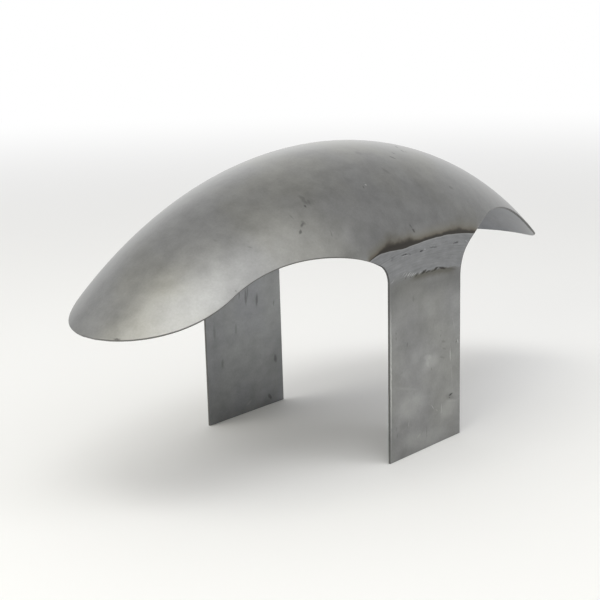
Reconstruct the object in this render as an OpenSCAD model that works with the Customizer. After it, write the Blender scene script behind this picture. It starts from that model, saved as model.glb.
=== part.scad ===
// Short front fender for a motorcycle: a pressed, ribless sheet steel crown on two flat blank legs.
// Each leg is a flat bar whose top is cut to an arc about the wheel axle and butt welded to the
// lower edge of the crown; the weld is ground flush with both.
// Millimetres, +X along the fender towards its front tip, +Z up.
// The origin lies on the floor midway between the two leg ends.

/* [Overall size] */
// height of the crown above the leg ends
height = 244.3; // [200:0.1:300]
// width over the outer faces of the crown's sides, which is also the leg spacing
width = 194; // [160:1:204]

/* [Crown] */
// distance from the wheel axle to the top of the crown
crown_r = 390; // [370:1:420]
// radius where the crown turns down into its sides
shoulder_r = 40; // [20:1:60]
// angle from the ridge, seen along the fender, at which that turn starts
shoulder_angle = 59.7; // [50:0.1:70]
// height of the upright side between that turn and the weld
side_h = 3.5; // [0:0.1:8]
// thickness of the crown sheet
sheet_t = 1.9; // [1:0.1:3]

/* [Legs] */
// width of the flat bar
leg_w = 101.6; // [90:0.1:110]
// thickness of the flat bar
leg_t = 1.9; // [1:0.1:5]
// lean of each leg towards the wheel, from the weld down
leg_lean_angle = 0.5; // [0:0.1:2]

/* [Weld] */
// height of the weld between the crown and the leg
weld_h = 5; // [4:0.1:7]
// radius of the ball that shapes each pit left in the ground weld
pit_ball_r = 1.6; // [1:0.1:3]
// depth of each pit
pit_depth = 0.4; // [0.1:0.1:0.8]

/* [Front edge, seen from the side] */
// height where the leg's edge starts to flare out to the crown
front_flare_z = 134; // [125:0.1:140]
// radius of the flare
front_flare_r = 33.5; // [25:0.5:40]
// turn of the flare, in degrees
front_flare_angle = 53; // [45:1:60]
// radius of the arch on its leg side
front_arch_in_r = 92.5; // [85:0.5:105]
// radius of the arch on its tip side
front_arch_out_r = 164.2; // [150:0.1:175]
// slope of the edge where it leaves the arch, in degrees
front_run_out_angle = 33.5; // [28:0.1:36]
// radius of the sweep that carries the edge to the tip
front_tip_r = 109.4; // [100:0.1:160]

/* [Rear edge, seen from the side] */
// height where the leg's edge starts to flare out to the crown
rear_flare_z = 144.2; // [135:0.1:148]
// radius of the flare
rear_flare_r = 17; // [10:0.5:25]
// turn of the flare, in degrees
rear_flare_angle = 64.5; // [58:0.5:70]
// radius of the arch on its leg side
rear_arch_in_r = 166.5; // [150:0.5:175]
// radius of the arch on its tip side
rear_arch_out_r = 144.6; // [135:0.1:160]
// slope of the edge where it leaves the arch, in degrees
rear_run_out_angle = 28.8; // [26:0.1:32]
// radius of the sweep that carries the edge to the tip
rear_tip_r = 215; // [180:1:240]

/* [Hidden] */
$fn = 180;

half_w = width / 2;
axle_z = height - crown_r;
// the cross section's wide arc is tangent to the shoulder arcs, which are upright at full width
crown_arc_r = shoulder_r + (half_w - shoulder_r) / sin(shoulder_angle);
arc_center_r = crown_r - crown_arc_r;
shoulder_center_r = arc_center_r + (crown_arc_r - shoulder_r) * cos(shoulder_angle);
// distances from the wheel axle to the crown's lower edge at the legs, the middle of the weld and
// the top of the legs
crown_edge_r = shoulder_center_r - side_h;
seam_r = crown_edge_r - weld_h / 2;
leg_top_r = crown_edge_r - weld_h;
seam_z = axle_z + seam_r;
weld_t = min(sheet_t, leg_t);
// pits in the right weld, each as [distance ahead of the leg's centre, distance above the seam]
weld_pits = [[-47.5, 1.4], [-29.2, 0.1], [-6.9, -1.3], [12.5, -1.3], [45, 1.2]];
// a length that clears the whole part
far = 2 * crown_r;

sheet_color = [0.62, 0.61, 0.58];
bar_color = [0.55, 0.55, 0.54];
weld_color = [0.66, 0.67, 0.69];

// Outlines

// Solid cross section of the crown, set in from the outer face: x is the distance from the axle,
// y is across the fender.
module crown_section(inset) {
    intersection() {
        translate([arc_center_r, 0])
            circle(crown_arc_r - inset);
        translate([arc_center_r, 0])
            polygon([
                [0, 0],
                far * [cos(shoulder_angle), -sin(shoulder_angle)],
                far * [cos(shoulder_angle), sin(shoulder_angle)]
            ]);
    }
    for (side = [-1, 1])
        translate([shoulder_center_r, side * (half_w - shoulder_r)])
            circle(shoulder_r - inset);
    translate([arc_center_r, inset - half_w])
        square([shoulder_center_r - arc_center_r, width - 2 * inset]);
}

// Slice of a disc between two directions, in degrees.
module pie(center, r, from, to) {
    intersection() {
        translate(center)
            circle(r);
        polygon([
            center,
            center + far * [cos(from), sin(from)],
            center + far * [cos(to), sin(to)]
        ]);
    }
}

// The opening under the crown's edge ahead of the leg, seen from the side. The edge leaves the leg
// upright, flares out, rises to the arch, falls away from it and sweeps out level to the tip, so
// each arc starts in the direction in which the last one ended.
module edge_opening(flare_z, flare_r, flare_angle, arch_in_r, arch_out_r, run_out_angle, tip_r) {
    flare_to = 180 - flare_angle;
    flare_dir = [cos(flare_to), sin(flare_to)];
    run_out_dir = [sin(run_out_angle), cos(run_out_angle)];
    flare_c = [leg_w / 2 + flare_r, flare_z];
    flare_end = flare_c + flare_r * flare_dir;
    arch_in_c = flare_end - arch_in_r * flare_dir;
    arch_top = arch_in_c + [0, arch_in_r];
    arch_out_c = arch_top - [0, arch_out_r];
    run_out_end = arch_out_c + arch_out_r * run_out_dir;
    tip_c = run_out_end + tip_r * run_out_dir;
    difference() {
        union() {
            pie(flare_c, flare_r, 180, flare_to);
            pie(arch_in_c, arch_in_r, flare_to, 90);
            pie(arch_out_c, arch_out_r, 90, 90 - run_out_angle);
            polygon([
                [leg_w / 2, -far],
                [leg_w / 2, flare_z],
                flare_end,
                arch_top,
                run_out_end,
                [far, run_out_end[1]],
                [far, -far]
            ]);
        }
        translate(tip_c)
            circle(tip_r);
    }
}

// Side view of the whole fender: everything above the leg ends and outside the two edge openings.
module side_view() {
    difference() {
        translate([-far, 0])
            square([2 * far, far]);
        edge_opening(front_flare_z, front_flare_r, front_flare_angle,
            front_arch_in_r, front_arch_out_r, front_run_out_angle, front_tip_r);
        mirror([1, 0])
            edge_opening(rear_flare_z, rear_flare_r, rear_flare_angle,
                rear_arch_in_r, rear_arch_out_r, rear_run_out_angle, rear_tip_r);
    }
}

// Helpers

// Turns a shape whose axis is Z so that its axis is the wheel's axle.
module about_axle() {
    translate([0, 0, axle_z])
        rotate([90, 0, 0])
            children();
}

// Keeps the part of a shape that lies within the side view.
module trimmed() {
    intersection() {
        children();
        rotate([90, 0, 0])
            linear_extrude(2 * width, center = true)
                side_view();
    }
}

// Right hand side, at -Y

// A flat bar cut to an arc at the top and square at the bottom.
module leg() {
    color(bar_color)
        trimmed()
            intersection() {
                translate([0, -half_w, seam_z])
                    rotate([leg_lean_angle, 0, 0])
                        translate([-leg_w, 0, -height])
                            cube([2 * leg_w, leg_t, height + weld_h]);
                about_axle()
                    cylinder(h = 2 * width, r = leg_top_r, center = true);
            }
}

// Weld metal that fills the gap between the bar and the crown, flush with both.
module weld() {
    color(weld_color)
        trimmed()
            about_axle()
                rotate_extrude()
                    translate([leg_top_r, half_w - weld_t])
                        square([weld_h, weld_t]);
}

// Parts

module crown() {
    color(sheet_color)
        trimmed()
            about_axle()
                rotate_extrude()
                    intersection() {
                        difference() {
                            crown_section(0);
                            crown_section(sheet_t);
                        }
                        translate([crown_edge_r, -width])
                            square([crown_r, 2 * width]);
                    }
}

module right_leg() {
    leg();
}

module left_leg() {
    mirror([0, 1, 0])
        leg();
}

module right_weld() {
    color(weld_color)
        difference() {
            weld();
            for (pit = weld_pits)
                translate([
                    pit[0],
                    pit_depth - pit_ball_r - half_w,
                    axle_z + sqrt(pow(seam_r + pit[1], 2) - pow(pit[0], 2))
                ])
                    sphere(pit_ball_r);
        }
}

module left_weld() {
    mirror([0, 1, 0])
        weld();
}

crown();
right_leg();
left_leg();
right_weld();
left_weld();
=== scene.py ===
"""Looks of a short front fender: a pressed crown, two flat legs and the ground welds between them.

Everything is in metres in the frame's own axes: +X towards the front tip, +Y towards the left leg,
+Z up, with the origin on the floor between the leg ends. The crown is a surface of revolution about
the wheel axle, so most shapes are worked out from the distance to the axle and the angle about it.
"""

from math import acos, atan2, cos, pi, radians, sin, sqrt, tan

import bmesh
import bpy
import numpy as np
from bpy.props import FloatProperty, FloatVectorProperty, PointerProperty
from mathutils import Matrix, Vector


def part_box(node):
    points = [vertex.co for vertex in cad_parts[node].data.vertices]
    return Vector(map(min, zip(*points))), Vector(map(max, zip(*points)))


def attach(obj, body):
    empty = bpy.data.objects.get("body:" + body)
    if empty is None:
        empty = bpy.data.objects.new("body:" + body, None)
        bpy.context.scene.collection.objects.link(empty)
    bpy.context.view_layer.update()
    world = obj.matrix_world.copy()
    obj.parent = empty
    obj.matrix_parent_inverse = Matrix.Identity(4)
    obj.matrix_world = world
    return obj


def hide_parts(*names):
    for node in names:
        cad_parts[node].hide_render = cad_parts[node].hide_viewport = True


bl_info = {
    "name": "Fender looks",
    "version": (1, 0, 0),
    "blender": (4, 5, 0),
    "location": "View3D > Sidebar > Fender",
    "description": "Builds the steel crown, legs and ground welds of a short fender, and a studio",
    "category": "Add Mesh",
}

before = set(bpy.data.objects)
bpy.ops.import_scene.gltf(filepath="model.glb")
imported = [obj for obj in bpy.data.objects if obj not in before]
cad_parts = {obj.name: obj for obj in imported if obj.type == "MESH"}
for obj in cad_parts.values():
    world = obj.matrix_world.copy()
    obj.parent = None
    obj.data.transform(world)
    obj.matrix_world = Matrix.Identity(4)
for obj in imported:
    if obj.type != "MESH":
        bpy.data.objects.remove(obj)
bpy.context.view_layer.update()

RIGHT, LEFT = -1, 1
SIDE_NAMES = {RIGHT: "right", LEFT: "left"}


# ---- Settings ----


def length(name, description, default):
    """A size in metres."""
    return FloatProperty(
        name=name, description=description, default=default, min=0, unit="LENGTH", precision=5
    )


def angle(name, description, degrees):
    """An angle, given here in degrees and kept in radians."""
    return FloatProperty(
        name=name, description=description, default=radians(degrees), subtype="ANGLE"
    )


def amount(name, description, default, **more):
    """A plain number that isn't below zero."""
    return FloatProperty(name=name, description=description, default=default, min=0, **more)


def colour(name, description, default):
    """A linear colour."""
    return FloatVectorProperty(
        name=name, description=description, default=default, subtype="COLOR", size=3, min=0, max=1
    )


EDGE_SETTINGS = {
    "flare_height": (length, "Height where the leg's edge starts to flare out"),
    "flare_radius": (length, "Radius of the flare"),
    "flare_angle": (angle, "Turn of the flare"),
    "inner_arch_radius": (length, "Radius of the arch on its leg side"),
    "outer_arch_radius": (length, "Radius of the arch on its tip side"),
    "run_out_angle": (angle, "Slope of the edge where it leaves the arch"),
    "tip_radius": (length, "Radius of the sweep that carries the edge to the tip"),
}


def edge_settings(*defaults):
    """The settings of one edge: arcs from the leg to the tip, each starting where the last ends."""
    fields = {}
    for (key, (kind, about)), default in zip(EDGE_SETTINGS.items(), defaults):
        fields[key] = kind(key.replace("_", " ").capitalize(), about, default)
    return fields


class FrontEdge(bpy.types.PropertyGroup):
    """The crown's lower edge ahead of the legs."""

    __annotations__ = edge_settings(0.134, 0.0335, 53, 0.0925, 0.1642, 33.5, 0.1094)


class RearEdge(bpy.types.PropertyGroup):
    """The crown's lower edge behind the legs, measured on its own."""

    __annotations__ = edge_settings(0.1442, 0.017, 64.5, 0.1665, 0.1446, 28.8, 0.215)


class FenderSizes(bpy.types.PropertyGroup):
    """Sizes shared by the crown, the legs and the welds."""

    crown_radius: length("Crown radius", "Distance from the wheel axle to the ridge", 0.39)
    shoulder_radius: length("Shoulder radius", "Radius where the crown turns down", 0.04)
    shoulder_angle: angle("Shoulder angle", "Angle from the ridge at which that turn starts", 59.7)
    side_height: length("Side height", "Upright side between that turn and the weld", 0.0035)
    sheet: length("Sheet thickness", "Thickness of the crown and the legs", 0.0019)
    leg_width: length("Leg width", "Width of the flat bar", 0.1016)
    leg_lean: angle("Leg lean", "Lean of each leg towards the wheel", 0.5)
    weld_height: length("Weld height", "Height of the weld between crown and leg", 0.005)
    edge_round: length("Edge rounding", "Radius of the deburred edges", 0.0003)
    front: PointerProperty(type=FrontEdge, name="Front edge", description="Edge ahead of the legs")
    rear: PointerProperty(type=RearEdge, name="Rear edge", description="Edge behind the legs")


class FenderFinish(bpy.types.PropertyGroup):
    """Colours and gloss of the raw steel."""

    sheet_colour: colour("Sheet", "Cold rolled crown sheet", (0.279, 0.280, 0.276))
    bar_colour: colour("Bar", "Flat bar of the legs", (0.276, 0.278, 0.277))
    weld_colour: colour("Ground steel", "Freshly ground steel at the welds", (0.245, 0.250, 0.256))
    tint_colour: colour("Heat tint", "Brown oxide beside the ground steel", (0.038, 0.035, 0.031))
    straw_colour: colour("Straw tint", "Pale oxide beyond the brown", (0.205, 0.198, 0.168))
    edge_colour: colour("Sheared edge", "Cut edges of the sheet and the bars", (0.07, 0.07, 0.07))
    roughness: amount("Roughness", "Roughness of the steel", 0.38, max=1)


class StudioSettings(bpy.types.PropertyGroup):
    """Camera and light."""

    camera_place: FloatVectorProperty(
        name="Camera place", description="Where the camera stands", unit="LENGTH", size=3,
        default=(-0.9864, -0.75078, 0.37378),
    )
    yaw: angle("Yaw", "Turn of the view from +Y towards +X", 51.58)
    pitch: angle("Pitch", "Tilt of the view below the horizon", 11.89)
    roll: angle("Roll", "Turn of the view about its own axis", -1.41)
    focal_length: FloatProperty(
        name="Focal length", description="For a 36 mm wide sensor", default=90.89, unit="CAMERA"
    )
    floor_colour: colour("Floor", "Floor and backdrop", (0.9, 0.9, 0.9))
    surround: amount("Surround", "Light from all round", 0.5)
    glow: amount("Glow", "Share of each glow's strength", 1.0)
    lamp_power: amount("Lamp power", "Share of each lamp's power", 1.0)


# Soft glows of the surround as (turn to the right of the view, rise, sharpness, strength), and disc
# lamps as (turn, rise, power in watts, tint), LAMP_AWAY from LAMP_TARGET and LAMP_SIZE across.
GLOWS = ((0, 8, 16, 1.01), (-30, 8, 16, 0.46), (30, 8, 16, 0.48), (0, 35, 12, 0.38))
LAMPS = (
    (180, 64, 18.0, (1.0, 1.0, 0.97)),
    (120, 64, 7.5, (1.0, 1.0, 1.0)),
    (-120, 64, 11.9, (1.0, 0.98, 0.9)),
    (108, 38, 6.8, (1.0, 1.0, 1.0)),
    (-108, 38, 7.0, (1.0, 0.98, 0.88)),
    (-72, 38, 3.2, (1.0, 0.99, 0.95)),
    (-150, 12, 26.4, (1.0, 0.965, 0.79)),
)
LAMP_AWAY = 3
LAMP_SIZE = 1.6
LAMP_TARGET = Vector((0, 0, 0.15))


# ---- Outlines: plane curves in the side view and across the crown ----


class Section:
    """Cross section of the crown, from the ridge outwards along its arc length.

    A wide arc about the section's centre runs to the shoulder angle, a tighter arc tangent to it
    turns upright at half the width, and a straight side goes on from there.
    """

    def __init__(self, sizes, half_width):
        self.turn = sizes.shoulder_angle
        self.shoulder = sizes.shoulder_radius
        self.wide = self.shoulder + (half_width - self.shoulder) / sin(self.turn)
        self.wide_length = self.wide * self.turn
        self.length = self.wide_length + self.shoulder * (pi / 2 - self.turn)
        self.shoulder_y = half_width - self.shoulder
        self.drop = self.wide - (self.wide - self.shoulder) * cos(self.turn)

    def at(self, along):
        """Distance across, drop below the ridge and the normal's angle from upright, all for
        along >= 0: on each arc the angle grows by length over radius."""
        on_shoulder = np.clip(along - self.wide_length, 0, self.length - self.wide_length)
        tilt = np.minimum(along, self.wide_length) / self.wide + on_shoulder / self.shoulder
        straight = np.maximum(along - self.length, 0)
        wide = along <= self.wide_length
        across = self.shoulder_y + self.shoulder * np.sin(tilt)
        across = np.where(wide, self.wide * np.sin(tilt), across)
        drop = self.drop - self.shoulder * np.cos(tilt)
        drop = np.where(wide, self.wide * (1 - np.cos(tilt)), drop)
        return across, drop + straight, tilt

    def along(self, drop):
        """The arc length at which the section lies that far below the ridge."""
        wide_drop = self.wide * (1 - cos(self.turn))
        on_wide = np.arccos(np.clip(1 - drop / self.wide, -1, 1))
        on_shoulder = np.arccos(np.clip((self.drop - drop) / self.shoulder, 0, 1)) - self.turn
        on_shoulder = self.wide_length + self.shoulder * on_shoulder
        on_arcs = np.where(drop <= wide_drop, self.wide * on_wide, on_shoulder)
        return on_arcs + np.maximum(drop - self.drop, 0)


def edge_curve(edge, leg_width, axle_z, crown_radius, steps=400, count=2000):
    """Points (x, z) of one edge in the side view, from the leg to the tip, evenly spaced.

    Four tangent arcs: each centre lies on the last arc's final radius, and the last arc ends where
    it meets the crown's ridge circle.
    """

    def arc(centre, radius, start, stop):
        turn = np.linspace(start, stop, steps)
        return centre + radius * np.stack([np.cos(turn), np.sin(turn)], 1)

    def heading(direction):
        return np.array([cos(direction), sin(direction)])

    flare_to = pi - edge.flare_angle
    out_to = pi / 2 - edge.run_out_angle
    flare_centre = np.array([leg_width / 2 + edge.flare_radius, edge.flare_height])
    flare_end = flare_centre + edge.flare_radius * heading(flare_to)
    in_centre = flare_end - edge.inner_arch_radius * heading(flare_to)
    out_centre = in_centre + [0, edge.inner_arch_radius - edge.outer_arch_radius]
    out_end = out_centre + edge.outer_arch_radius * heading(out_to)
    tip_centre = out_end + edge.tip_radius * heading(out_to)
    # where the last circle meets the ridge circle, on the side towards the floor
    to_tip = tip_centre - [0, axle_z]
    apart = np.hypot(*to_tip)
    reach = (apart**2 + edge.tip_radius**2 - crown_radius**2) / (2 * apart * edge.tip_radius)
    last = atan2(-to_tip[1], -to_tip[0]) + acos(reach)
    arcs = [
        arc(flare_centre, edge.flare_radius, pi, flare_to),
        arc(in_centre, edge.inner_arch_radius, flare_to, pi / 2),
        arc(out_centre, edge.outer_arch_radius, pi / 2, out_to),
        arc(tip_centre, edge.tip_radius, out_to - pi, last),
    ]
    points = np.concatenate([arcs[0]] + [a[1:] for a in arcs[1:]])
    return resampled(points, count)


def resampled(points, count):
    """The same polyline with count points at even distances along it."""
    step = np.hypot(*np.diff(points[:, :2], axis=0).T)
    run = np.concatenate([[0], np.cumsum(step)])
    even = np.linspace(0, run[-1], count)
    return np.stack([np.interp(even, run, points[:, i]) for i in range(points.shape[1])], 1)


class Fender:
    """The sizes that all the pieces share, worked out from the settings and the frame's box."""

    def __init__(self, sizes):
        self.sizes = sizes
        self.half_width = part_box("crown")[1].y
        self.crown_radius = sizes.crown_radius
        self.axle_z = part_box("crown")[1].z - sizes.crown_radius
        self.section = Section(sizes, self.half_width)
        self.crown_edge = self.crown_radius - self.section.drop - sizes.side_height
        self.leg_top = self.crown_edge - sizes.weld_height
        self.seam = (self.crown_edge + self.leg_top) / 2
        self.seam_z = self.axle_z + self.seam
        self.edges = {
            end: edge_curve(edge, sizes.leg_width, self.axle_z, self.crown_radius)
            for end, edge in ((1, sizes.front), (-1, sizes.rear))
        }

    def polar(self, xz):
        """Distance from the axle and angle about it, forwards from upright."""
        x, z = xz[..., 0], xz[..., 1] - self.axle_z
        return np.hypot(x, z), np.arctan2(x, z)

    def crossing(self, curve, radius):
        """Where a side curve (x, z) lies at a distance from the axle, or at several."""
        distance = self.polar(curve)[0]
        return np.stack([np.interp(radius, distance, curve[:, i]) for i in (0, 1)], -1)

    def surface(self, turn, along):
        """Outer face of the crown: turn is the angle about the axle, along the signed arc length
        across the section. Returns the points and their outward normals."""
        across, drop, tilt = self.section.at(np.abs(along))
        side = np.where(along < 0, -1.0, 1.0)
        radius = self.crown_radius - drop
        sin_t, cos_t = np.sin(turn), np.cos(turn)
        points = np.stack([radius * sin_t, side * across, self.axle_z + radius * cos_t], -1)
        normals = np.stack([np.cos(tilt) * sin_t, side * np.sin(tilt), np.cos(tilt) * cos_t], -1)
        return points, normals

    def leg_face(self, x, z, side):
        """Outer face of a leg: a plane that leans in below the weld."""
        lean = self.sizes.leg_lean
        y = side * (self.half_width - (self.seam_z - z) * tan(lean))
        points = np.stack([x, y, z], -1)
        normals = np.broadcast_to([0, side * cos(lean), -sin(lean)], points.shape)
        return points, normals

    def weld_face(self, x, z, side):
        """Outer face of a weld: upright, in line with the crown's side."""
        points = np.stack([x, np.full_like(x, side * self.half_width), z], -1)
        return points, np.broadcast_to([0.0, side, 0.0], points.shape)


# ---- Walls: closed sheets with rounded edges, made from a grid on their outer face ----


def rim_profile(edge, normal, outward, rounding, thickness, steps=4):
    """Points round a sheet's cut edge, from its outer face to its inner one: a quarter circle of
    the rounding's radius at each face. edge is on the outer face, outward points off the sheet."""
    turn = np.linspace(0, pi / 2, steps + 1)
    radius = rounding[:, None, None]
    out = outward[:, None, :]
    up = normal[:, None, :]
    corner = edge[:, None, :] - radius * out
    sin_t, cos_t = np.sin(turn)[None, :, None], np.cos(turn)[None, :, None]
    outer = corner - radius * up + radius * (sin_t * out + cos_t * up)
    inner = corner - (thickness - radius) * up + radius * (cos_t * out - sin_t * up)
    return np.concatenate([outer, inner], 1)


def closed_wall(name, outer, inner, right_rim, left_rim, cap_ends, sheared=None):
    """A closed sheet from grids of rows by columns: each row goes along the outer face, round the
    left rim, back along the inner face and round the right rim. Ends that don't close by
    themselves get caps, which join the row's two halves column by column. sheared is 1 for each
    row whose rims are bare cut edges."""
    rows = np.concatenate([outer, left_rim, inner[:, ::-1], right_rim[:, ::-1]], 1)
    count, across = rows.shape[:2]
    index = np.arange(count * across).reshape(count, across)
    beside = np.roll(index, -1, 1)
    quads = np.stack([index[:-1], beside[:-1], beside[1:], index[1:]], -1).reshape(-1, 4)
    if cap_ends:
        quads = np.concatenate([quads, *(cap(index[end], outer.shape[1]) for end in (0, -1))])
    rim = np.zeros(across)
    steps = right_rim.shape[1]
    rise = np.clip(np.minimum(np.arange(steps), np.arange(steps)[::-1]) / 2, 0, 1)
    rim[outer.shape[1] : outer.shape[1] + steps] = rise
    rim[-steps:] = rise
    inside = np.zeros(across)
    inside[outer.shape[1] + steps : -steps] = 1
    sheared = np.ones(count) if sheared is None else sheared
    shares = {"rim": np.outer(sheared, rim).ravel(), "inside": np.tile(inside, count)}
    return mesh_piece(name, rows.reshape(-1, 3), quads, shares)


def cap(loop, columns):
    """Faces across an end loop, between the points that lie opposite each other."""
    rim = (len(loop) - 2 * columns) // 2
    start = np.roll(loop, rim // 2)
    half = len(loop) // 2
    near, far = start[:half], start[half:][::-1]
    return np.stack([near[:-1], near[1:], far[1:], far[:-1]], 1)


def mesh_piece(name, points, quads, shares):
    """A smooth shaded mesh object with its doubles merged and its faces turned outwards. Each share
    becomes a point attribute: rim is 1 on a sheet's cut edges, inside is 1 on its inner face."""
    mesh = bpy.data.meshes.new(name)
    mesh.from_pydata(points.tolist(), [], quads.tolist())
    for share, values in shares.items():
        mesh.attributes.new(share, "FLOAT", "POINT").data.foreach_set("value", values)
    work = bmesh.new()
    work.from_mesh(mesh)
    bmesh.ops.remove_doubles(work, verts=work.verts, dist=2e-6)
    bmesh.ops.dissolve_degenerate(work, edges=work.edges, dist=1e-7)
    bmesh.ops.recalc_face_normals(work, faces=work.faces)
    work.to_mesh(mesh)
    work.free()
    mesh.shade_smooth()
    mesh.set_sharp_from_angle(angle=radians(40))
    return add_object(name, mesh)


def add_object(name, data):
    """A new object in the scene."""
    thing = bpy.data.objects.new(name, data)
    bpy.context.scene.collection.objects.link(thing)
    return thing


def spread(count, lip):
    """Columns from -1 to 1, even but for one more close to each end, which keeps the shading of
    the face clear of the rounded edge."""
    even = np.linspace(-1, 1, count)
    return np.concatenate([[-1, -1 + lip], even[1:-1], [1 - lip, 1]])


def unit(vectors):
    """The same directions at length 1."""
    return vectors / np.linalg.norm(vectors, axis=-1, keepdims=True)


# ---- Pieces ----

# Height at which a leg's rows start to bend to the arc at its top.
LEG_BEND_Z = 0.09
# How far a weld's outermost rows reach past its edges, and how deep they lie under the neighbours.
WELD_TUCK = 0.00015
WELD_DIP = 0.00012
# Pits left in the ground weld of the right side, as (x, distance above the seam's middle). Each is
# the cap of a ball drawn out along the seam, whose slope at x is x / PIT_ARC.
WELD_PITS = (
    (-0.0475, 0.0014), (-0.0292, 0.0001), (-0.0069, -0.0013), (0.0125, -0.0013), (0.045, 0.0012),
)
PIT_BALL = 0.0016
PIT_DEPTH = 0.0004
PIT_STRETCH = 2.2
PIT_ARC = 0.31


def build_crown(fender, rows_each=150, rows_seam=70, columns=110):
    """The crown: rows run across it from the rear tip to the front tip.

    The boundary of one side is the rear edge, the seam arc and the front edge. Row i meets it at
    its own point (turn_i, along_i), and its middle lies on the ridge at an even step, so the row's
    turn is ridge_i + (turn_i - ridge_i) k^2 and its arc length along_i k, for k from -1 to 1.
    """
    sizes = fender.sizes
    sides = {}
    for end in (-1, 1):
        curve = fender.edges[end]
        past = curve[fender.polar(curve)[0] >= fender.crown_edge]
        start = fender.crossing(curve, fender.crown_edge)
        sides[end] = resampled(np.vstack([start, past]), rows_each) * [end, 1]
    seam_ends = (fender.polar(sides[end][0])[1] for end in (-1, 1))
    seam_turns = np.linspace(*seam_ends, rows_seam)[1:-1]
    seam = fender.crown_edge * np.stack([np.sin(seam_turns), np.cos(seam_turns)], 1)
    seam[:, 1] += fender.axle_z
    border = np.concatenate([sides[-1][::-1], seam, sides[1]])
    radius, turn = fender.polar(border)
    along = fender.section.along(np.maximum(fender.crown_radius - radius, 0))
    along[[0, -1]] = 0
    tip = fender.polar(border[[0, -1]])[1]
    rear = np.linspace(tip[0], seam_turns[0], rows_each + 1)[:-1]
    front = np.linspace(seam_turns[-1], tip[1], rows_each + 1)[1:]
    ridge = np.concatenate([rear, seam_turns, front])
    # outward direction of the cut edge: square to the border and to the sheet's normal
    edge, normal = fender.surface(turn, along)
    ghost = edge * [1, -1, 1]
    run = np.gradient(np.concatenate([ghost[1:2], edge, ghost[-2:-1]]), axis=0)[1:-1]
    outward = unit(np.cross(normal, run))
    on_seam = np.zeros(len(border), bool)
    on_seam[rows_each : rows_each + len(seam)] = True
    rounding = np.where(on_seam, 0.0, sizes.edge_round)
    # the face stops where the rounding starts
    inset = edge - rounding[:, None] * outward
    inset_radius, inset_turn = fender.polar(inset[:, [0, 2]])
    inset_along = fender.section.along(np.maximum(fender.crown_radius - inset_radius, 0))
    inset_along[[0, -1]] = 0
    ridge[[0, -1]] = inset_turn[[0, -1]]
    inset_turn = np.where(on_seam, turn, inset_turn)
    k = spread(columns, 0.008)[None, :]
    grid_turn = ridge[:, None] + (inset_turn - ridge)[:, None] * k**2
    grid_along = inset_along[:, None] * k
    outer, normals = fender.surface(grid_turn, grid_along)
    inner = outer - sizes.sheet * normals
    rims = [
        rim_profile(edge * flip, normal * flip, outward * flip, rounding, sizes.sheet)
        for flip in ([1, RIGHT, 1], [1, LEFT, 1])
    ]
    return closed_wall("crown_shell", outer, inner, *rims, False, 1.0 - on_seam)


def flat_wall(fender, face, side, rear, front, bulge, columns):
    """A flat sheet between two side curves given row by row as (x, z).

    A row runs straight from one curve to the other, plus bulge, its points' rise above that line.
    The face stops where the rounding of the cut edges starts. Returns the outer face, the inner
    face, the rear rim and the front rim.
    """
    sizes = fender.sizes
    rounding = np.full(len(rear), sizes.edge_round)
    limits, rims = [], []
    for end, curve in ((-1, rear), (1, front)):
        # off the sheet in the side view, square to a curve that climbs from the leg
        run = unit(np.gradient(curve, axis=0))
        out = end * np.stack([run[:, 1], -run[:, 0]], 1)
        limits.append(curve - rounding[:, None] * out)
        edge, normal = face(curve[:, 0], curve[:, 1], side)
        across = np.stack([out[:, 0], np.zeros(len(out)), out[:, 1]], 1)
        across = unit(across - np.sum(across * normal, 1, keepdims=True) * normal)
        rims.append(rim_profile(edge, normal, across, rounding, sizes.sheet))
    share = ((spread(columns, 0.006) + 1) / 2)[None, :, None]
    xz = limits[0][:, None, :] * (1 - share) + limits[1][:, None, :] * share
    xz = xz + bulge(xz)
    outer, normals = face(xz[..., 0], xz[..., 1], side)
    return outer, outer - sizes.sheet * normals, *rims


def leg_side(fender, end, rows):
    """One side curve of a leg as (x, z): upright from the floor, then along the flare up to the
    arc under the weld."""
    curve = fender.edges[end] * [end, 1]
    foot = [end * fender.sizes.leg_width / 2, 0]
    flare = curve[fender.polar(curve)[0] < fender.leg_top]
    return resampled(np.vstack([foot, flare, fender.crossing(curve, fender.leg_top)]), rows)


def build_leg(fender, side, columns=60, rows=150):
    """A leg: rows run along it from the square lower end up to the arc under the weld.

    Each row is straight at the bottom and bends to the arc about the axle at the top.
    """
    rear, front = (leg_side(fender, end, rows) for end in (-1, 1))
    rise = np.clip((rear[:, 1] - LEG_BEND_Z) / (rear[-1, 1] - LEG_BEND_Z), 0, 1)
    rise = rise * rise * (3 - 2 * rise)

    def bulge(xz):
        chord = fender.polar(xz[-1])[0]
        lift = (fender.leg_top / chord - 1)[:, None] * (xz[-1] - [0, fender.axle_z])
        return rise[:, None, None] * lift[None]

    parts = flat_wall(fender, fender.leg_face, side, rear, front, bulge, columns)
    return closed_wall(f"{SIDE_NAMES[side]}_leg_bar", *parts, True)


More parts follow.
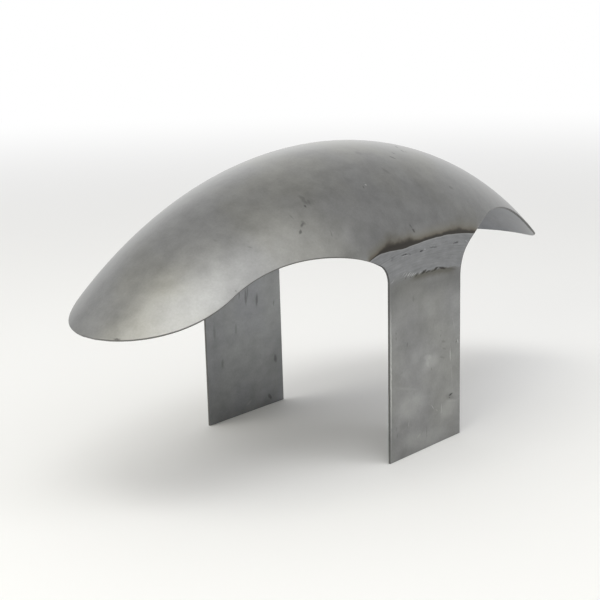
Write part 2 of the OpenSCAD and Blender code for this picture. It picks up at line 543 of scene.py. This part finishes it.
def build_weld(fender, side, columns=420, rows=26):
    """A weld: rows are arcs about the axle, from the leg's top to the crown's lower edge.

    One more row at each end dips under the neighbour, so no gap shows between them. The depth of a
    pit is sqrt(ball^2 - distance^2) less the height of the ball's centre over the face.
    """
    levels = np.linspace(fender.leg_top, fender.crown_edge, rows)
    levels = np.concatenate([[levels[0] - WELD_TUCK], levels, [levels[-1] + WELD_TUCK]])
    dip = np.zeros(rows + 2)
    dip[[0, -1]] = WELD_DIP
    ends = []
    for end in (-1, 1):
        ends.append(fender.crossing(fender.edges[end] * [end, 1], levels))
        ends[-1][:, 0] -= end * dip

    def bulge(xz):
        radius = fender.polar(xz)[0]
        return (levels[:, None] / radius - 1)[..., None] * (xz - [0, fender.axle_z])

    parts = flat_wall(fender, fender.weld_face, side, *ends, bulge, columns)
    # sunk from both faces: the outer face and the rims go in, the inner face comes out
    sunk = (dip[:, None] * [0, side, 0])[:, None]
    outer, inner, *rims = (part - sign * sunk for part, sign in zip(parts, (1, -1, 1, 1)))
    if side == RIGHT:
        for x, up in WELD_PITS:
            z = fender.axle_z + sqrt((fender.seam + up) ** 2 - x**2)
            along = outer[..., 0] - x
            away = np.hypot(along / PIT_STRETCH, outer[..., 2] - z + along * x / PIT_ARC)
            depth = np.sqrt(np.maximum(PIT_BALL**2 - away**2, 0)) - (PIT_BALL - PIT_DEPTH)
            outer[..., 1] -= side * np.maximum(depth, 0)
    return closed_wall(f"{SIDE_NAMES[side]}_weld_bead", outer, inner, *rims, True)


# ---- Materials ----

# The ground zone's upper and lower edges, as distances from the axle.
ZONE_TOP = 0.3162
ZONE_LOW = 0.2920
# How far across the zone's lower edge lies, as the leg leans in below the weld.
TORN_FACE = 0.0968

# Marks are strokes, one to a row: the start, the way to the end and the half width in tenths of a
# millimetre, then the strength in percent, which is below zero for a bright mark. On the crown the
# places are (x, y, z).
CROWN_MARKS = (
    (-1043, -562, 2133, 6, -29, -18, 24, 32),
    (-1069, -601, 2099, -1, -6, -5, 12, 75),
    (-1034, -524, 2159, 10, -33, -17, 25, 35),
    (-1004, -579, 2133, -15, -31, -26, 16, 30),
    (-1204, -684, 1988, -26, -6, -15, 16, 60),
    (-1259, -705, 1949, -24, -10, -18, 16, 70),
    (-1193, -671, 2004, -1, -19, -17, 18, 35),
    (-1031, -801, 1924, -13, -37, -51, 9, 35),
    (-1240, -583, 2055, 0, -46, -33, 9, 30),
    (-1693, -558, 1879, 22, -23, -6, 10, 35),
    (-1814, -346, 1930, 6, -23, -7, 14, 14),
    (-1975, -674, 1622, 1, -8, -7, 10, 40),
    (-2688, -169, 1349, 13, -45, 1, 12, 80),
    (-63, -354, 2382, 1, -28, -11, 44, 22),
    (611, -257, 2363, -39, -58, -10, 14, 88),
    (550, -350, 2344, -14, -50, -17, 14, 80),
    (569, -387, 2327, 2, -18, -8, 12, 72),
    (225, -464, 2329, 34, -45, -25, 16, 64),
    (340, -414, 2343, 7, -25, -11, 14, 56),
    (-46, -594, 2261, 19, -44, -32, 29, 25),
    (650, -777, 2045, 22, -5, -11, 24, 30),
    (-189, -940, 1862, 18, -11, -29, 10, 45),
    (-169, -954, 1822, 25, -7, -24, 14, 90),
    (-393, -672, 2182, 0, -4, -4, 10, -100),
    (-430, -678, 2172, -8, -11, -10, 10, 50),
    (-455, -775, 2077, 39, -138, -182, 9, 18),
    (-241, -748, 2126, 46, -108, -124, 9, 15),
    (-491, -481, 2296, 272, -14, 18, 50, 12),
    (-860, -890, 1840, 280, -20, 30, 120, 20),
    (80, -780, 2060, 220, -20, -30, 180, 12),
    (-560, -100, 2400, 260, -200, 0, 170, 10),
)

# The other places are (x, z): on the right leg's outer face, on the left leg's inner face, at the
# lower edge of the ground zone on both sides, and in and beside the pits of the right weld.
RIGHT_LEG_MARKS_AND_EDGE_HIGHLIGHT = (
    (-183, 1287, -1, -32, 19, 25),
    (-426, 1044, 3, -8, 8, 50),
    (-423, 1008, 5, -21, 9, 35),
    (-270, 941, 0, -41, 8, 30),
    (214, 942, 1, -8, 8, 55),
    (210, 901, 3, -13, 8, 40),
    (216, 850, 75, -24, 13, 25),
    (231, 788, 60, -21, 11, 22),
    (201, 719, 75, -20, 12, 25),
    (467, 820, 9, -40, 8, -100),
    (445, 803, 1, -8, 7, 70),
    (356, 762, 1, -110, 14, -45),
    (367, 650, 25, -236, 7, -20),
    (-33, 769, 102, -22, 32, -20),
    (10, 726, 15, -36, 28, -18),
    (75, 663, 3, -34, 7, 50),
    (339, 362, 50, 8, 13, 100),
    (339, 344, 15, -7, 8, 50),
    (293, 368, 107, -33, 32, 18),
    (69, 353, 52, -63, 6, -50),
    (143, 293, 30, -24, 6, -35),
    (230, 332, -11, -116, 7, -45),
    (-251, 289, -1, -66, 6, -45),
    (5, 192, 3, -128, 8, 40),
    (-412, 230, 6, -42, 9, 30),
    (-422, 282, -1, -32, 7, 30),
    (-177, 528, 7, -60, 7, 25),
    (-442, 605, 337, -89, 16, -12),
    (293, 326, 185, -35, 16, -15),
    (-135, 118, 58, 19, 9, -25),
    (-373, 695, 42, 15, 13, 15),
    (380, 1036, 46, -136, 9, -18),
    # painted highlight: a bright line down the rear edge, where its rounding catches the light
    (-495, 1420, 0, -1400, 13, -100),
    (0, 690, 140, 30, 90, -22),
    (-360, 400, 240, 10, 150, -30),
    (260, 240, 140, 10, 100, -28),
    (-400, 120, 700, -60, 100, -22),
    (-300, 1000, 300, 50, 180, 10),
)
LEFT_LEG_MARKS_AND_FOOT_SHADE = (
    (28, 1110, 1, -150, 22, 55),
    (182, 1040, -11, -115, 22, 58),
    (414, 943, -9, -54, 14, 40),
    (-311, 553, -4, -82, 20, 38),
    (403, 428, 11, -49, 29, 52),
    (-117, 817, -3, -73, 22, 30),
    (298, 87, 27, -34, 25, 60),
    (-11, 68, 71, 29, 16, -20),
    (-403, 871, 4, -133, 23, 30),
    # painted shade: a broad faint dark patch low on the front half, so the inner face is darker
    # towards the foot
    (400, -200, 120, 800, 300, 20),
    (-50, 1160, -10, -130, 16, 52),
    (60, 1140, -10, -130, 12, 45),
)
TORN_MARKS = (
    (-299, 1448, 37, 24, 7, 50),
    (-230, 1446, 26, 17, 8, 50),
    (-160, 1444, 48, 26, 10, 55),
    (-74, 1452, 76, 24, 14, 100),
    (-10, 1452, 78, 10, 11, 70),
    (108, 1452, 64, 18, 13, 100),
    (170, 1468, 120, -30, 14, 90),
    (60, 1448, 60, 2, 8, 50),
    (-352, 1471, 69, 36, 5, -50),
    (-318, 1463, 68, 38, 5, -60),
    (-284, 1455, 70, 41, 6, -90),
    (-252, 1452, 60, 36, 5, -60),
    (-222, 1450, 54, 32, 6, -80),
    (-190, 1450, 50, 30, 5, -50),
    (-112, 1452, 42, 26, 6, -50),
    (-500, 1440, 60, 35, 6, -35),
)
PIT_MARKS = (
    (-352, 1644, 94, -4, 9, 100),
    (-262, 1641, 50, -4, 8, 60),
    (-350, 1634, 100, -4, 6, -60),
    (-500, 1650, 48, -9, 10, 60),
    (-102, 1626, 60, 15, 10, 100),
    (-72, 1614, 20, 4, 8, -90),
    (-30, 1645, 20, -2, 6, -70),
    (40, 1647, 124, -13, 6, 80),
    (386, 1630, 97, -3, 9, 90),
    (450, 1594, 76, -8, 10, 45),
    (428, 1564, 76, -3, 7, 60),
    (-600, 1620, 70, 20, 6, 35),
    (200, 1665, 130, -10, 5, 30),
    (560, 1640, 60, -40, 6, -50),
)


def math_node(operation, swapped=False):
    """A method that adds a Math node for this value and another, or for the other and this one."""

    def method(self, other):
        first, second = (other, self) if swapped else (self, other)
        return self.graph.add("Math", {0: first, 1: second}, operation=operation)

    return method


class Value:
    """A socket that takes part in Python sums: each operator adds a Math node."""

    def __init__(self, graph, socket):
        self.graph = graph
        self.socket = socket

    __add__, __radd__ = math_node("ADD"), math_node("ADD", True)
    __sub__, __rsub__ = math_node("SUBTRACT"), math_node("SUBTRACT", True)
    __mul__, __rmul__ = math_node("MULTIPLY"), math_node("MULTIPLY", True)
    __truediv__, __pow__ = math_node("DIVIDE"), math_node("POWER")
    top, low = math_node("MAXIMUM"), math_node("MINIMUM")

    def __abs__(self):
        return self.graph.add("Math", {0: self}, operation="ABSOLUTE")

    def rise(self, start, stop):
        """0 up to start and 1 from stop on, with a smooth turn between; start may be the larger."""
        ends = {"Value": self, "From Min": start, "From Max": stop}
        return self.graph.add("MapRange", ends, interpolation_type="SMOOTHSTEP", clamp=True)

    def band(self, start, stop, soft):
        """1 between start and stop, falling to 0 over soft outside them."""
        return self.rise(start - soft, start) * self.rise(stop + soft, stop)


class Graph:
    """The nodes of one material or world."""

    def __init__(self, owner):
        owner.use_nodes = True
        self.tree = owner.node_tree

    def add(self, kind, inputs=None, output=0, **settings):
        """A node of any type: its settings first, then its sockets, and the wanted output."""
        node = self.tree.nodes.new("ShaderNode" + kind)
        for name, value in settings.items():
            setattr(node, name, value)
        self.fill(node, inputs or {})
        return Value(self, node.outputs[output])

    def vector(self, operation, *parts, output=0):
        """A Vector Math node. Output 1 is the one for a plain number."""
        return self.add("VectorMath", dict(enumerate(parts)), output, operation=operation)

    def fill(self, node, inputs):
        """Links or sets a node's sockets."""
        for name, value in inputs.items():
            if isinstance(value, Value):
                self.tree.links.new(value.socket, node.inputs[name])
            else:
                node.inputs[name].default_value = value

    def split(self, vector):
        """The three numbers of a vector."""
        node = self.add("SeparateXYZ", {0: vector}).socket.node
        return [Value(self, socket) for socket in node.outputs]

    def join(self, x, y, z):
        """A vector from three numbers."""
        return self.add("CombineXYZ", {0: x, 1: y, 2: z})

    def seen(self):
        """1 for the rays of the camera, and 1 for those that mirrors and glass send on."""
        path = self.add("LightPath").socket.node
        kinds = ("Camera", "Glossy", "Transmission")
        camera, glossy, through = (Value(self, path.outputs[f"Is {kind} Ray"]) for kind in kinds)
        return camera, (glossy + through).low(1)

    def share(self, name):
        """One of the shares that a mesh carries as point attributes."""
        return self.add("Attribute", output=2, attribute_name=name)

    def noise(self, vector, scale, detail=2.0, rough=0.5, stretch=(1, 1, 1)):
        """Smooth noise about 0, mostly within -1 and 1; its patches are about 1 / scale metres."""
        if stretch != (1, 1, 1):
            vector = self.add("Mapping", {"Vector": vector, "Scale": stretch})
        parts = {"Vector": vector, "Scale": scale, "Detail": detail, "Roughness": rough}
        return (self.add("TexNoise", parts) - 0.5) * 4

    def mix(self, share, first, second, blend="MIX"):
        """A colour between two others; a plain colour is given as three numbers. The sockets for
        colours are inputs 6 and 7 and output 2 of a Mix node."""
        first, second = (v if isinstance(v, Value) else (*v, 1) for v in (first, second))
        sockets = {0: share, 6: first, 7: second}
        return self.add("Mix", sockets, 2, data_type="RGBA", blend_type=blend)

    def tone(self, colour, level):
        """A colour made lighter or darker by a varying level."""
        return self.mix(1.0, colour, self.join(level, level, level), "MULTIPLY")


def placed(rows, lift=None):
    """Marks from the rows of a table: lift puts places that are (x, z) on a face."""
    for *places, width, strength in rows:
        start, way = np.array(places).reshape(2, -1)
        ends = np.stack([start, start + way]) / 1e4
        yield (*(lift(ends) if lift else ends), width / 1e4, strength / 100)


def upright(across):
    """A lift to the upright plane at that distance across the fender."""
    return lambda ends: np.insert(ends, 1, across, axis=1)


def stroke(graph, place, start, end, width):
    """1 in the middle of a stroke and 0 outside it: a long ball, whose half length is half the way
    between its ends plus the width."""
    start, end = Vector(start), Vector(end)
    size = {
        "Vector": place,
        "Location": (start + end) / 2,
        "Rotation": (end - start).to_track_quat("X", "Z").to_euler(),
        "Scale": ((end - start).length / 2 + width, width, width),
    }
    local = graph.add("Mapping", size, vector_type="TEXTURE")
    return graph.vector("LENGTH", local, output=1).rise(1, 0.3)


def strokes(graph, place, marks):
    """All dark marks, and all bright ones, each as a sum of strokes."""
    sums = [0.0, 0.0]
    for start, end, width, strength in marks:
        bright = int(strength < 0)
        sums[bright] = sums[bright] + stroke(graph, place, start, end, width) * abs(strength)
    return sums


def scaled(colour, *levels):
    """A plain colour with each of its three numbers scaled."""
    return tuple(c * level for c, level in zip(colour, levels))


class Steel:
    """Raw steel shared by all the pieces, so that the ground zone runs on from one to the next.

    The ground zone follows the weld about the axle. Its upper edge slopes up towards the front and
    rises at the rear end, and the sheet above it is tinted brown and straw.
    """

    def __init__(self, name, fender, finish, base):
        self.material = bpy.data.materials.new(name)
        self.graph = graph = Graph(self.material)
        self.finish = finish
        self.shader = graph.tree.nodes["Principled BSDF"]
        self.place = graph.add("TexCoord", output=3)
        self.x, _, self.z = graph.split(self.place)
        height = self.z - fender.axle_z
        self.radius = (self.x * self.x + height * height) ** 0.5
        # the place moved about a little, so that strokes get ragged edges
        wobble = graph.add("TexNoise", {"Vector": self.place, "Scale": 420.0, "Detail": 2.0}, 1)
        wobble = graph.vector("SUBTRACT", wobble, (0.5, 0.5, 0.5))
        self.warped = graph.vector("MULTIPLY_ADD", wobble, (0.0016, 0.0016, 0.0016), self.place)
        # and the same for both sides, as if on the right one
        x, y, z = graph.split(self.warped)
        self.flank = graph.join(x, abs(y) * -1, z)
        self.colour = base
        self.rough = finish.roughness
        self.relief = 0.0

    def mottle(self, clouds, patches, grain, stretch=(1, 1, 1), warm=(1.0, 0.99, 0.93)):
        """Uneven tone at three sizes, and a faint warm cast in places."""
        graph = self.graph
        large = graph.noise(self.place, 22.0, 3.0, 0.55, stretch)
        middle = graph.noise(self.place, 85.0, 4.0, 0.6, stretch)
        fine = graph.noise(self.place, 620.0, 2.0, 0.6)
        level = 1 + large * clouds + middle * patches + fine * grain
        cast = graph.noise(self.place, 14.0, 2.0).rise(-0.3, 0.8)
        base = graph.mix(cast * 0.8, self.colour, scaled(self.colour, *warm))
        self.colour = graph.tone(base, level)
        self.rough = self.rough + middle * 0.02 + large * 0.02
        self.relief = large * 0.00006 + middle * 0.000016 + fine * 0.000004

    def mark(self, place, marks, dark, bright):
        """Lays strokes over the steel: dark and bright each give a share and a colour."""
        layers = zip(strokes(self.graph, place, marks), (dark, bright), (0.9, 0.8))
        for shape, (share, tint), most in layers:
            self.colour = self.graph.mix((shape * share).low(most), self.colour, tint)

    def wear_and_painted_light(self, marks):
        """Scratches, specks and smears, and on the legs a painted highlight down the right leg's
        rear edge and painted shade at the left leg's foot.
        """
        self.mark(self.warped, marks, (0.85, (0.048, 0.048, 0.047)), (0.55, (0.7, 0.7, 0.68)))

    def grind(self):
        """The ground zone, the tint above it and the torn marks at its lower edge."""
        graph, x, z, radius, finish = self.graph, self.x, self.z, self.radius, self.finish
        wander = graph.noise(self.place, 70.0, 2.0)
        beside = abs(x).rise(0.082, 0.074)
        edge = ZONE_TOP + x.rise(-0.026, -0.066) * 0.0052 + (x + 0.012).top(0) * 0.047
        above = radius - (edge + wander * 0.0003)
        # brush lines: noise drawn out along the arc, and one scratch pattern across them
        arc = graph.join(x * 0.045, 0.0, radius)
        lines = graph.noise(arc, 900.0, 3.0, 0.7)
        broad = graph.noise(arc, 260.0, 2.0, 0.6)
        slant = graph.join(x * 0.12 + radius * 0.2, 0.0, radius - x * 0.22)
        scratch = graph.noise(slant, 1100.0, 2.0, 0.5)
        blots = graph.noise(graph.join(x * 0.5, 0.0, radius), 160.0, 3.0, 0.6)
        level = 0.97 + lines * 0.16 + broad * 0.08 + blots * 0.13 + scratch.rise(0.5, 1.2) * 0.25
        ground = graph.tone(finish.weld_colour, level)
        # the lower edge is soft towards the rear
        slant = graph.join(x * 0.5 - z * 0.8, 0.0, x * 0.2 + z * 0.13)
        teeth = graph.noise(slant, 420.0, 2.0, 0.6)
        below = ZONE_LOW + (-0.01 - x).top(0) * 0.08 + teeth * 0.0007 - radius
        soft = x.rise(-0.012, -0.03) * 0.005 + 0.001
        in_zone = above.rise(0.0002, -0.0002) * (below / soft).rise(1, -1)
        # heat tint above the upper edge: depth is how far its dark part reaches
        depth = x.band(-0.046, -0.030, 0.024) * 0.0048 + x.band(0.042, 0.052, 0.012) * 0.0022
        depth = (0.0029 + depth) * (1 + wander * 0.22 + blots * 0.2)
        depth = depth * (0.3 + x.rise(-0.071, -0.052) * 0.7)
        ends = beside * above.rise(-0.0006, -0.0001)
        straw = (above / (depth + 0.009)).rise(1.1, 0.3) * ends
        brown = (above / (depth * 1.2 + 0.003)).rise(1.1, 0.2) * ends
        dark = (above / depth).rise(1.3, 0.4) * ends
        bare = graph.mix(straw * 0.8, self.colour, finish.straw_colour)
        bare = graph.mix(brown * 0.6, bare, scaled(finish.tint_colour, 2.5, 2.0, 1.4))
        bare = graph.mix(dark * 0.93, bare, finish.tint_colour)
        # below the zone a faint cast that fades out downwards
        bare = graph.tone(bare, 1 - below.band(0.0, 0.008, 0.022) * 0.28)
        cast = below.band(0.0, 0.002, 0.005) * x.band(-0.012, 0.033, 0.014) * 0.85
        cast = cast * below.rise(-0.0002, 0.0004)
        bare = graph.mix(cast, bare, scaled(finish.straw_colour, 0.6, 0.6, 0.6))
        # a thin bright line along the upper edge, a painted highlight where the ground edge catches
        # the light, then the torn marks and a few level scratches
        edge_highlight = above.band(-0.0005, 0.0, 0.0004) * 0.25
        zone = in_zone * beside
        self.colour = graph.mix(zone, bare, graph.mix(edge_highlight, ground, (0.5, 0.5, 0.48)))
        torn = placed(TORN_MARKS, upright(-TORN_FACE))
        self.mark(self.flank, torn, (1.1, finish.tint_colour), (0.75, (0.6, 0.61, 0.6)))
        rise = z + x * 0.18
        level_lines = graph.noise(graph.join(x * 0.05, 0.0, rise), 800.0, 0.0)
        window = x.band(0.030, 0.042, 0.003) * rise.band(0.1474, 0.1514, 0.0010)
        level_lines = window * level_lines.rise(0.0, -0.8) * 0.5
        self.colour = graph.mix(level_lines, self.colour, (0.09, 0.09, 0.085))
        self.rough = self.rough + zone * (0.03 + lines * 0.02)
        brushed = lines * 0.000006 + broad * 0.00002 + scratch * 0.000003
        self.relief = self.relief + zone * brushed

    def pits(self, fender):
        """Dark strokes in and beside the pits that grinding left, with a bright lip under some."""
        marks = placed(PIT_MARKS, upright(-fender.half_width))
        self.mark(self.warped, marks, (0.8, (0.05, 0.05, 0.054)), (0.6, (0.62, 0.63, 0.64)))

    def painted_inner_shade(self, shade_tint):
        """Painted shade on the hollow side: its inner face is made darker and cooler than the outer
        face.
        """
        cooler = self.graph.mix(1.0, self.colour, shade_tint, "MULTIPLY")
        self.colour = self.graph.mix(self.graph.share("inside"), self.colour, cooler)

    def rims(self, share):
        """Sheared edges, which stay darker than the faces."""
        rim = self.graph.share("rim")
        self.colour = self.graph.mix(rim * share, self.colour, self.finish.edge_colour)
        self.rough = self.rough + rim * 0.12

    def done(self):
        """The finished material."""
        bump = self.graph.add("Bump", {"Height": self.relief, "Strength": 1.0, "Distance": 1.0})
        look = {"Base Color": self.colour, "Metallic": 1.0, "Roughness": self.rough, "Normal": bump}
        self.graph.fill(self.shader, look)
        return self.material


def finish_piece(piece, node, material):
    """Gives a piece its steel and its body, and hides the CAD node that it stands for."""
    piece.data.materials.append(material)
    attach(piece, "root")
    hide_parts(node)


# ---- Operators ----


def current(scene):
    """The fender and its finish at the scene's settings."""
    return Fender(scene.fender_sizes), scene.fender_finish


class BuildCrown(bpy.types.Operator):
    """Build the crown and its steel"""

    bl_idname = "fender.build_crown"
    bl_label = "Crown"

    def execute(self, context):
        fender, finish = current(context.scene)
        steel = Steel("sheet_steel", fender, finish, tuple(finish.sheet_colour))
        steel.mottle(clouds=0.09, patches=0.115, grain=0.05)
        steel.wear_and_painted_light(placed(CROWN_MARKS))
        # painted shade: the crown's inner face darker and cooler than its outer face
        steel.painted_inner_shade((0.84, 0.86, 0.93))
        steel.grind()
        steel.rims(0.45)
        finish_piece(build_crown(fender), "crown", steel.done())
        return {"FINISHED"}


class BuildLegs(bpy.types.Operator):
    """Build the two legs and their steel"""

    bl_idname = "fender.build_legs"
    bl_label = "Legs"

    def execute(self, context):
        fender, finish = current(context.scene)
        for side, name in SIDE_NAMES.items():
            steel = Steel(f"{name}_bar_steel", fender, finish, tuple(finish.bar_colour))
            steel.mottle(0.13, 0.12, 0.05, stretch=(0.8, 1, 1.1), warm=(1.0, 1.0, 0.955))
            steel.wear_and_painted_light(leg_marks_and_painted_light(fender, side))
            # painted shade: each leg's inner face a little cooler than its outer face
            steel.painted_inner_shade((0.95, 0.965, 1.0))
            steel.grind()
            steel.rims(0.62)
            finish_piece(build_leg(fender, side), f"{name}_leg", steel.done())
        return {"FINISHED"}


def leg_marks_and_painted_light(fender, side):
    """The marks of a leg, with a painted highlight down the right leg's rear edge and painted shade
    at the left leg's foot, put on its outer face on the right and its inner face on the left.
    """

    def lift(ends):
        points, normals = fender.leg_face(ends[:, 0], ends[:, 1], side)
        return points if side == RIGHT else points - fender.sizes.sheet * normals

    return placed(RIGHT_LEG_MARKS_AND_EDGE_HIGHLIGHT if side == RIGHT else LEFT_LEG_MARKS_AND_FOOT_SHADE, lift)


class BuildWelds(bpy.types.Operator):
    """Build the two ground welds"""

    bl_idname = "fender.build_welds"
    bl_label = "Welds"

    def execute(self, context):
        fender, finish = current(context.scene)
        for side, name in SIDE_NAMES.items():
            steel = Steel(f"{name}_weld_steel", fender, finish, tuple(finish.weld_colour))
            steel.mottle(clouds=0.05, patches=0.05, grain=0.03)
            steel.grind()
            if side == RIGHT:
                steel.pits(fender)
            steel.rims(0.62)
            finish_piece(build_weld(fender, side), f"{name}_weld", steel.done())
        return {"FINISHED"}


class BuildStudio(bpy.types.Operator):
    """Build the floor, the lamps and the camera"""

    bl_idname = "fender.build_studio"
    bl_label = "Studio"

    def execute(self, context):
        studio = context.scene.fender_studio
        build_floor(studio)
        build_light(studio)
        build_camera(studio)
        context.scene.view_settings.view_transform = "Standard"
        return {"FINISHED"}


FLOOR_RADIUS = 300
FLOOR_SIDES = 96
# The floor lies this far under the leg ends, so that the two don't share a plane.
FLOOR_GAP = 0.0002


def build_floor(studio):
    """A wide flat disc just under the leg ends.

    What the camera and the steel see of it turns white away from the fender, so the floor runs
    into a white background and keeps the fender's shadow.
    """
    turn = np.linspace(0, 2 * pi, FLOOR_SIDES + 1)[:-1]
    points = FLOOR_RADIUS * np.stack([np.cos(turn), np.sin(turn), 0 * turn], 1)
    points -= [0, 0, FLOOR_GAP]
    mesh = bpy.data.meshes.new("floor")
    mesh.from_pydata(points.tolist(), [], [list(range(FLOOR_SIDES))])
    floor = add_object("floor", mesh)
    material = bpy.data.materials.new("floor_paint")
    graph = Graph(material)
    shader = graph.tree.nodes["Principled BSDF"]
    paint = {"Base Color": (*studio.floor_colour, 1), "Roughness": 0.9, "Specular IOR Level": 0}
    graph.fill(shader, paint)
    camera, shiny = graph.seen()
    away = graph.vector("LENGTH", graph.add("TexCoord", output=3), output=1)
    share = (camera + shiny) * away.rise(0.7, 3.2)
    white = graph.add("Emission", {"Color": (1, 1, 1, 1), "Strength": 1.0})
    mixed = graph.add("MixShader", {0: share, 1: Value(graph, shader.outputs[0]), 2: white})
    graph.fill(graph.tree.nodes["Material Output"], {"Surface": mixed})
    mesh.materials.append(material)


def towards(studio, turn, rise):
    """The direction at an angle to the right of the view and above the horizon, in degrees."""
    across, up = studio.yaw + radians(turn), radians(rise)
    level = cos(up)
    return Vector((sin(across) * level, cos(across) * level, sin(up)))


def build_light(studio):
    """An even grey surround with a soft glow behind the fender, and large disc lamps around it.

    A glow falls off with the cosine of the angle from its middle, raised to its sharpness.
    """
    world = bpy.data.worlds.new("studio_air")
    bpy.context.scene.world = world
    graph = Graph(world)
    looking = graph.add("TexCoord")
    strength = studio.surround
    for turn, rise, sharpness, glow in GLOWS:
        facing = graph.vector("DOT_PRODUCT", looking, towards(studio, turn, rise), output=1)
        strength = strength + facing.top(0) ** sharpness * (studio.glow * glow)
    # the camera sees white above the floor, and so does the steel near the horizon
    camera, shiny = graph.seen()
    share = camera + shiny * graph.split(looking)[2].rise(0.12, 0.02)
    strength = strength * (1 - share) + share
    graph.fill(graph.tree.nodes["Background"], {"Color": (1, 1, 1, 1), "Strength": strength})
    for turn, rise, power, tint in LAMPS:
        light = bpy.data.lights.new(f"lamp_{turn}_{rise}", "AREA")
        light.shape = "DISK"
        light.size = LAMP_SIZE
        light.energy = power * studio.lamp_power
        light.color = tint
        lamp = add_object(light.name, light)
        away = towards(studio, turn, rise)
        lamp.location = LAMP_TARGET + LAMP_AWAY * away
        lamp.rotation_euler = away.to_track_quat("Z", "Y").to_euler()


def build_camera(studio):
    """A camera turned by yaw about +Z, pitched down, then rolled about its own view."""
    data = bpy.data.cameras.new("camera")
    data.lens = studio.focal_length
    data.sensor_width = 36
    camera = add_object("camera", data)
    ahead, right = (towards(studio, turn, 0) for turn in (0, 90))
    view = ahead * cos(studio.pitch) - Vector((0, 0, sin(studio.pitch)))
    up = Vector((0, 0, cos(studio.pitch))) + ahead * sin(studio.pitch)
    across = right * cos(studio.roll) + up * sin(studio.roll)
    top = up * cos(studio.roll) - right * sin(studio.roll)
    turn = Matrix((across, top, -view)).transposed().to_4x4()
    camera.matrix_world = Matrix.Translation(studio.camera_place) @ turn
    bpy.context.scene.camera = camera


class FenderPanel(bpy.types.Panel):
    """Lists the builders"""

    bl_idname = "VIEW3D_PT_fender"
    bl_label = "Fender"
    bl_space_type = "VIEW_3D"
    bl_region_type = "UI"
    bl_category = "Fender"

    def draw(self, context):
        for operator in BUILDERS:
            self.layout.operator(operator.bl_idname)


SETTINGS = {
    "fender_sizes": FenderSizes, "fender_finish": FenderFinish, "fender_studio": StudioSettings,
}
BUILDERS = (BuildCrown, BuildLegs, BuildWelds, BuildStudio)
CLASSES = (FrontEdge, RearEdge, *SETTINGS.values(), *BUILDERS, FenderPanel)


def register():
    for cls in CLASSES:
        bpy.utils.register_class(cls)
    for name, group in SETTINGS.items():
        setattr(bpy.types.Scene, name, PointerProperty(type=group))


def unregister():
    for name in SETTINGS:
        delattr(bpy.types.Scene, name)
    for cls in reversed(CLASSES):
        bpy.utils.unregister_class(cls)


def main():
    register()
    bpy.ops.fender.build_crown()
    bpy.ops.fender.build_legs()
    bpy.ops.fender.build_welds()
    bpy.ops.fender.build_studio()


if __name__ == "__main__":
    main()
